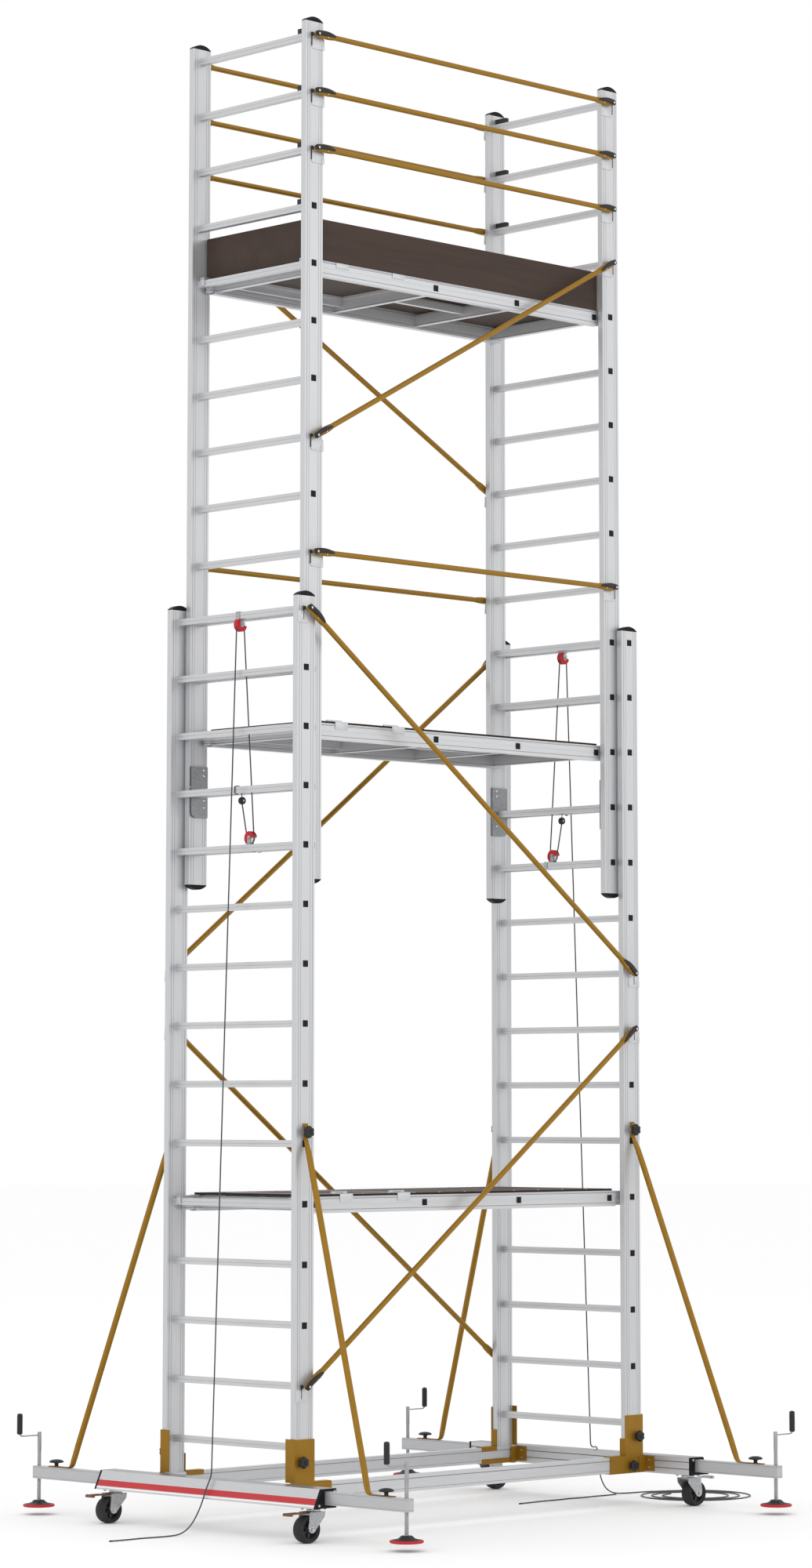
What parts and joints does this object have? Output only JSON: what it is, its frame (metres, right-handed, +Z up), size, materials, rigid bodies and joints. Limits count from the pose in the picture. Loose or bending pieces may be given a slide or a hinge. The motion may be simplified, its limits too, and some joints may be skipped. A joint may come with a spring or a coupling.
{
  "type": "mobile tower scaffold",
  "caption": "Narrow rolling tower scaffold: sliding upper section raised by rope over a lower section, hatch platforms, toe boards, braces, castors, outriggers with screw jacks and stays.",
  "frame": {"origin": "centre of the base on the floor", "axes": "+Z up, X from ladder A to ladder B along the platforms, -Y the front side"},
  "size_m": [3.9622, 2.723, 7.213],
  "materials": {
    "aluminium": "satin extruded",
    "gold_steel": "amber anodised",
    "zinc_steel": "zinc plated",
    "black_plastic": "moulded",
    "deck_board": "film-faced plywood, fine wire mark",
    "toe_wood": "film-faced plywood",
    "red_rubber": "moulded, matt",
    "tyre_rubber": "grey-black tyre",
    "pedal_paint": "painted pressed steel",
    "rope": "braided"
  },
  "bodies": {
    "root": {"lower_stiles": "aluminium", "lower_rungs": "aluminium", "lower_plugs_and_caps": "black_plastic", "end_beams": "aluminium", "side_beams": "aluminium", "base_brackets": "gold_steel", "clamp_knobs": "black_plastic", "base_fasteners": "zinc_steel", "lower_platform_frame": "aluminium", "lower_platform_deck": "deck_board", "lower_braces": "gold_steel", "lower_brace_hooks": "black_plastic", "hoist_top_blocks": "zinc_steel", "haul_rope_a": "rope", "haul_rope_b": "rope", "rope_coil_b": "rope", "lift_ropes": "rope"},
    "upper_section": {"upper_stiles": "aluminium", "upper_rungs": "aluminium", "upper_plugs_and_caps": "black_plastic", "upper_platform_frames": "aluminium", "upper_platform_decks": "deck_board", "toe_boards": "toe_wood", "guard_rails": "gold_steel", "upper_brace_hooks": "black_plastic", "latch_housings": "zinc_steel", "lift_pulley_blocks": "zinc_steel"},
    "trapdoor_top": {"trapdoor_top": "deck_board"},
    "trapdoor_middle": {"trapdoor_middle": "deck_board"},
    "trapdoor_lower": {"trapdoor_lower": "deck_board"},
    "outrigger_a_front": {"outrigger_a_front": "aluminium"},
    "jack_foot_a_front": {"jack_foot_a_front": "red_rubber"},
    "jack_screw_a_front": {"jack_screw_a_front": "zinc_steel"},
    "castor_fork_a_front": {"castor_fork_a_front": "zinc_steel"},
    "castor_wheel_a_front": {"castor_wheel_a_front": "tyre_rubber"},
    "brake_pedal_a_front": {"brake_pedal_a_front": "pedal_paint"},
    "stay_a_front": {"stay_a_front": "gold_steel"},
    "outrigger_a_back": {"outrigger_a_back": "aluminium"},
    "jack_foot_a_back": {"jack_foot_a_back": "red_rubber"},
    "jack_screw_a_back": {"jack_screw_a_back": "zinc_steel"},
    "castor_fork_a_back": {"castor_fork_a_back": "zinc_steel"},
    "castor_wheel_a_back": {"castor_wheel_a_back": "tyre_rubber"},
    "brake_pedal_a_back": {"brake_pedal_a_back": "pedal_paint"},
    "stay_a_back": {"stay_a_back": "gold_steel"},
    "outrigger_b_front": {"outrigger_b_front": "aluminium"},
    "jack_foot_b_front": {"jack_foot_b_front": "red_rubber"},
    "jack_screw_b_front": {"jack_screw_b_front": "zinc_steel"},
    "castor_fork_b_front": {"castor_fork_b_front": "zinc_steel"},
    "castor_wheel_b_front": {"castor_wheel_b_front": "tyre_rubber"},
    "brake_pedal_b_front": {"brake_pedal_b_front": "pedal_paint"},
    "stay_b_front": {"stay_b_front": "gold_steel"},
    "outrigger_b_back": {"outrigger_b_back": "aluminium"},
    "jack_foot_b_back": {"jack_foot_b_back": "red_rubber"},
    "jack_screw_b_back": {"jack_screw_b_back": "zinc_steel"},
    "castor_fork_b_back": {"castor_fork_b_back": "zinc_steel"},
    "castor_wheel_b_back": {"castor_wheel_b_back": "tyre_rubber"},
    "brake_pedal_b_back": {"brake_pedal_b_back": "pedal_paint"},
    "stay_b_back": {"stay_b_back": "gold_steel"},
    "latches_a": {"latches_a": "zinc_steel"},
    "latches_b": {"latches_b": "zinc_steel"}
  },
  "joints": [
    {"name": "upper_section_slide", "type": "slide", "parent": "root", "child": "upper_section", "axis": [0, 0, 1], "range_m": [-1.4, 0], "deforming": ["lift_ropes"]},
    {"name": "trapdoor_top_hinge", "type": "hinge", "parent": "upper_section", "child": "trapdoor_top", "pos_m": [-0.625, -0.327, 6.0545], "axis": [1, 0, 0], "range_deg": [0, 85]},
    {"name": "trapdoor_middle_hinge", "type": "hinge", "parent": "upper_section", "child": "trapdoor_middle", "pos_m": [-0.625, -0.327, 3.8145], "axis": [1, 0, 0], "range_deg": [0, 85]},
    {"name": "trapdoor_lower_hinge", "type": "hinge", "parent": "root", "child": "trapdoor_lower", "pos_m": [-0.625, -0.367, 1.5745], "axis": [1, 0, 0], "range_deg": [0, 85]},
    {"name": "outrigger_slide_a_front", "type": "slide", "parent": "root", "child": "outrigger_a_front", "axis": [0, -1, 0], "range_m": [-0.06, 0.1]},
    {"name": "jack_foot_slide_a_front", "type": "slide", "parent": "outrigger_a_front", "child": "jack_foot_a_front", "axis": [0, 0, 1], "range_m": [-0.0365, 0.0905]},
    {"name": "jack_screw_spin_a_front", "type": "hinge", "parent": "jack_foot_a_front", "child": "jack_screw_a_front", "pos_m": [-1.263, -1.284, 0.38], "axis": [0, 0, 1], "range_deg": [-2160, 5400]},
    {"name": "castor_swivel_a_front", "type": "hinge", "parent": "root", "child": "castor_fork_a_front", "pos_m": [-1.2785, -0.692, 0.148], "axis": [0, 0, 1], "continuous": true},
    {"name": "castor_roll_a_front", "type": "hinge", "parent": "castor_fork_a_front", "child": "castor_wheel_a_front", "pos_m": [-1.322, -0.692, 0.0625], "axis": [0, 1, 0], "continuous": true},
    {"name": "brake_pedal_press_a_front", "type": "hinge", "parent": "castor_fork_a_front", "child": "brake_pedal_a_front", "pos_m": [-1.303, -0.692, 0.137], "axis": [0, -1, 0], "range_deg": [0, 12]},
    {"name": "stay_swing_a_front", "type": "hinge", "parent": "root", "child": "stay_a_front", "pos_m": [-1.1274, -0.471, 1.86], "axis": [0, 1, 0], "range_deg": [0, 40]},
    {"name": "outrigger_slide_a_back", "type": "slide", "parent": "root", "child": "outrigger_a_back", "axis": [0, 1, 0], "range_m": [-0.06, 0.1]},
    {"name": "jack_foot_slide_a_back", "type": "slide", "parent": "outrigger_a_back", "child": "jack_foot_a_back", "axis": [0, 0, 1], "range_m": [-0.0365, 0.0905]},
    {"name": "jack_screw_spin_a_back", "type": "hinge", "parent": "jack_foot_a_back", "child": "jack_screw_a_back", "pos_m": [-1.263, 1.284, 0.38], "axis": [0, 0, 1], "range_deg": [-2160, 5400]},
    {"name": "castor_swivel_a_back", "type": "hinge", "parent": "root", "child": "castor_fork_a_back", "pos_m": [-1.2785, 0.692, 0.148], "axis": [0, 0, 1], "continuous": true},
    {"name": "castor_roll_a_back", "type": "hinge", "parent": "castor_fork_a_back", "child": "castor_wheel_a_back", "pos_m": [-1.322, 0.692, 0.0625], "axis": [0, 1, 0], "continuous": true},
    {"name": "brake_pedal_press_a_back", "type": "hinge", "parent": "castor_fork_a_back", "child": "brake_pedal_a_back", "pos_m": [-1.303, 0.692, 0.137], "axis": [0, -1, 0], "range_deg": [0, 12]},
    {"name": "stay_swing_a_back", "type": "hinge", "parent": "root", "child": "stay_a_back", "pos_m": [-1.1274, 0.471, 1.86], "axis": [0, 1, 0], "range_deg": [0, 40]},
    {"name": "outrigger_slide_b_front", "type": "slide", "parent": "root", "child": "outrigger_b_front", "axis": [0, -1, 0], "range_m": [-0.06, 0.1]},
    {"name": "jack_foot_slide_b_front", "type": "slide", "parent": "outrigger_b_front", "child": "jack_foot_b_front", "axis": [0, 0, 1], "range_m": [-0.0365, 0.0905]},
    {"name": "jack_screw_spin_b_front", "type": "hinge", "parent": "jack_foot_b_front", "child": "jack_screw_b_front", "pos_m": [1.263, -1.284, 0.38], "axis": [0, 0, 1], "range_deg": [-2160, 5400]},
    {"name": "castor_swivel_b_front", "type": "hinge", "parent": "root", "child": "castor_fork_b_front", "pos_m": [1.2785, -0.692, 0.148], "axis": [0, 0, 1], "continuous": true},
    {"name": "castor_roll_b_front", "type": "hinge", "parent": "castor_fork_b_front", "child": "castor_wheel_b_front", "pos_m": [1.322, -0.692, 0.0625], "axis": [0, 1, 0], "continuous": true},
    {"name": "brake_pedal_press_b_front", "type": "hinge", "parent": "castor_fork_b_front", "child": "brake_pedal_b_front", "pos_m": [1.303, -0.692, 0.137], "axis": [0, 1, 0], "range_deg": [0, 12]},
    {"name": "stay_swing_b_front", "type": "hinge", "parent": "root", "child": "stay_b_front", "pos_m": [1.1274, -0.471, 1.86], "axis": [0, -1, 0], "range_deg": [0, 40]},
    {"name": "outrigger_slide_b_back", "type": "slide", "parent": "root", "child": "outrigger_b_back", "axis": [0, 1, 0], "range_m": [-0.06, 0.1]},
    {"name": "jack_foot_slide_b_back", "type": "slide", "parent": "outrigger_b_back", "child": "jack_foot_b_back", "axis": [0, 0, 1], "range_m": [-0.0365, 0.0905]},
    {"name": "jack_screw_spin_b_back", "type": "hinge", "parent": "jack_foot_b_back", "child": "jack_screw_b_back", "pos_m": [1.263, 1.284, 0.38], "axis": [0, 0, 1], "range_deg": [-2160, 5400]},
    {"name": "castor_swivel_b_back", "type": "hinge", "parent": "root", "child": "castor_fork_b_back", "pos_m": [1.2785, 0.692, 0.148], "axis": [0, 0, 1], "continuous": true},
    {"name": "castor_roll_b_back", "type": "hinge", "parent": "castor_fork_b_back", "child": "castor_wheel_b_back", "pos_m": [1.322, 0.692, 0.0625], "axis": [0, 1, 0], "continuous": true},
    {"name": "brake_pedal_press_b_back", "type": "hinge", "parent": "castor_fork_b_back", "child": "brake_pedal_b_back", "pos_m": [1.303, 0.692, 0.137], "axis": [0, 1, 0], "range_deg": [0, 12]},
    {"name": "stay_swing_b_back", "type": "hinge", "parent": "root", "child": "stay_b_back", "pos_m": [1.1274, 0.471, 1.86], "axis": [0, -1, 0], "range_deg": [0, 40]},
    {"name": "latch_swing_a", "type": "hinge", "parent": "upper_section", "child": "latches_a", "pos_m": [-1.075, 0, 3.515], "axis": [0, -1, 0], "range_deg": [0, 100]},
    {"name": "latch_swing_b", "type": "hinge", "parent": "upper_section", "child": "latches_b", "pos_m": [1.075, 0, 3.515], "axis": [0, 1, 0], "range_deg": [0, 100]}
  ],
  "couplings": [
    {"joint": "jack_foot_slide_a_front", "follows": "jack_screw_spin_a_front", "m_per_rad": 0.00095493},
    {"joint": "jack_foot_slide_a_back", "follows": "jack_screw_spin_a_back", "m_per_rad": 0.00095493},
    {"joint": "jack_foot_slide_b_front", "follows": "jack_screw_spin_b_front", "m_per_rad": 0.00095493},
    {"joint": "jack_foot_slide_b_back", "follows": "jack_screw_spin_b_back", "m_per_rad": 0.00095493}
  ]
}
